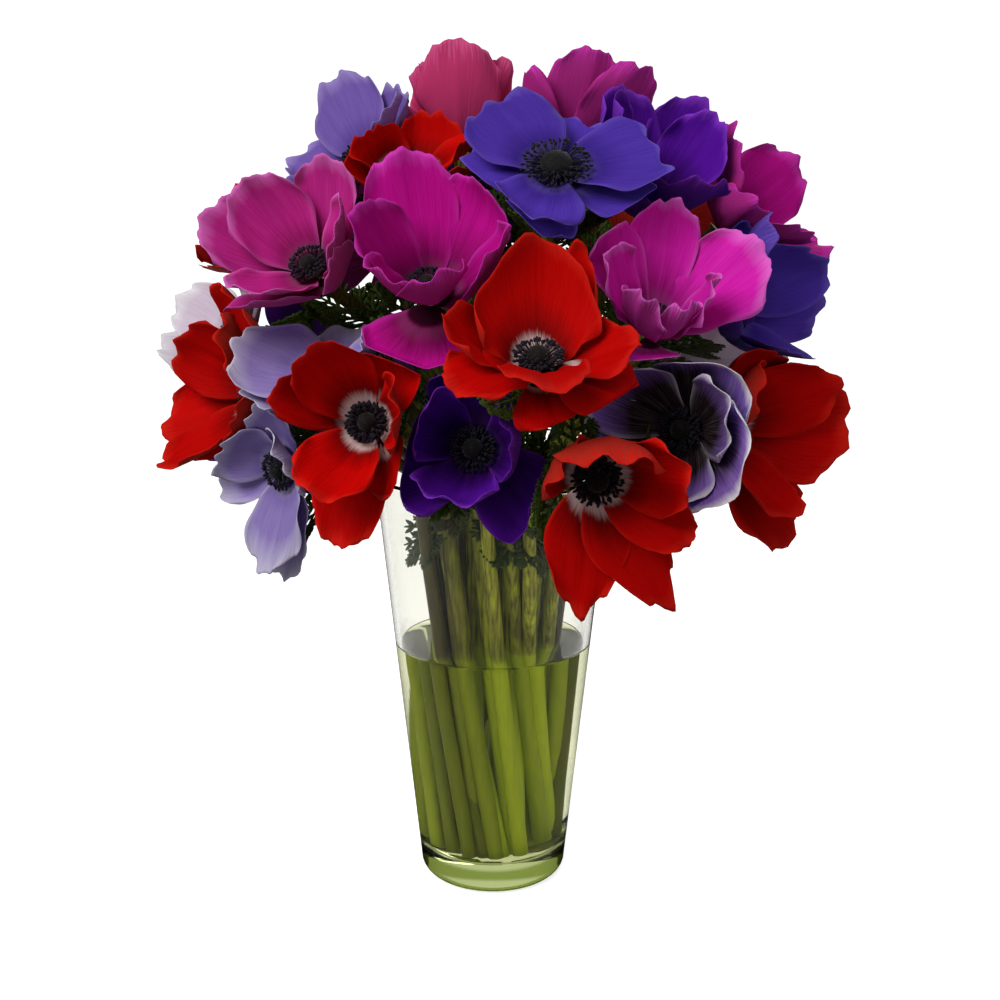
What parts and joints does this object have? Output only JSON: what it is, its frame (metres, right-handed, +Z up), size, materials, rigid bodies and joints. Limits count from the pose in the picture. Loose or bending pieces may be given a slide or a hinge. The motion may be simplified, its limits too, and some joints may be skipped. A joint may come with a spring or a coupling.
{
  "type": "anemone bouquet in vase",
  "caption": "Rounded bouquet of cut anemones in red, magenta, violet, blue and lilac with dark centres, standing in a clear tapered glass vase with water.",
  "frame": {"origin": "middle of the vase's flat underside", "axes": "+Z up through the vase and the bouquet, -Y towards the picture's camera, +X to the right in the picture"},
  "size_m": [0.3076, 0.2646, 0.3768],
  "materials": {
    "glass": "clear, polished",
    "water": "clear liquid",
    "stem": "waxy, fresh plant stem and leaf",
    "red_petal": "velvety flower petal",
    "magenta_petal": "velvety flower petal",
    "pink_petal": "velvety flower petal",
    "blue_petal": "velvety flower petal",
    "violet_petal": "velvety flower petal",
    "lavender_petal": "velvety flower petal",
    "lilac_petal": "velvety flower petal",
    "white_petal": "velvety flower petal",
    "centre": "matte seed head and stamens"
  },
  "bodies": {
    "root": {"vase": "glass", "water": "water", "stems": "stem", "red_front_petals": "red_petal", "red_front_centre": "centre", "blue_crown_petals": "blue_petal", "blue_crown_centre": "centre", "magenta_left_petals": "magenta_petal", "magenta_left_centre": "centre", "pink_left_petals": "pink_petal", "pink_left_centre": "centre", "lavender_upper_left_petals": "lavender_petal", "lavender_upper_left_centre": "centre", "red_upper_left_petals": "red_petal", "red_upper_left_centre": "centre", "pink_crown_petals": "pink_petal", "magenta_crown_petals": "magenta_petal", "magenta_crown_centre": "centre", "violet_crown_petals": "violet_petal", "violet_crown_centre": "centre", "magenta_right_petals": "magenta_petal", "magenta_right_centre": "centre", "blue_right_petals": "blue_petal", "blue_right_centre": "centre", "magenta_front_petals": "magenta_petal", "magenta_front_centre": "centre", "white_front_petals": "white_petal", "white_front_centre": "centre", "red_right_petals": "red_petal", "red_right_centre": "centre", "red_low_petals": "red_petal", "red_low_centre": "centre", "violet_front_petals": "violet_petal", "violet_front_centre": "centre", "red_left_petals": "red_petal", "red_left_centre": "centre", "lilac_low_petals": "lilac_petal", "lilac_low_centre": "centre", "red_far_left_petals": "red_petal", "red_far_left_centre": "centre", "white_left_petals": "white_petal", "white_left_centre": "centre", "red_upper_far_left_petals": "red_petal", "red_upper_far_left_centre": "centre", "lavender_inner_petals": "lavender_petal", "lavender_inner_centre": "centre", "blue_back_petals": "blue_petal", "blue_back_centre": "centre", "red_back_right_petals": "red_petal", "red_back_right_centre": "centre", "magenta_back_left_petals": "magenta_petal", "magenta_back_left_centre": "centre", "red_back_petals": "red_petal", "red_back_centre": "centre", "violet_back_left_petals": "violet_petal", "violet_back_left_centre": "centre", "white_back_right_petals": "white_petal", "white_back_right_centre": "centre", "lavender_back_petals": "lavender_petal", "lavender_back_centre": "centre"}
  },
  "joints": []
}
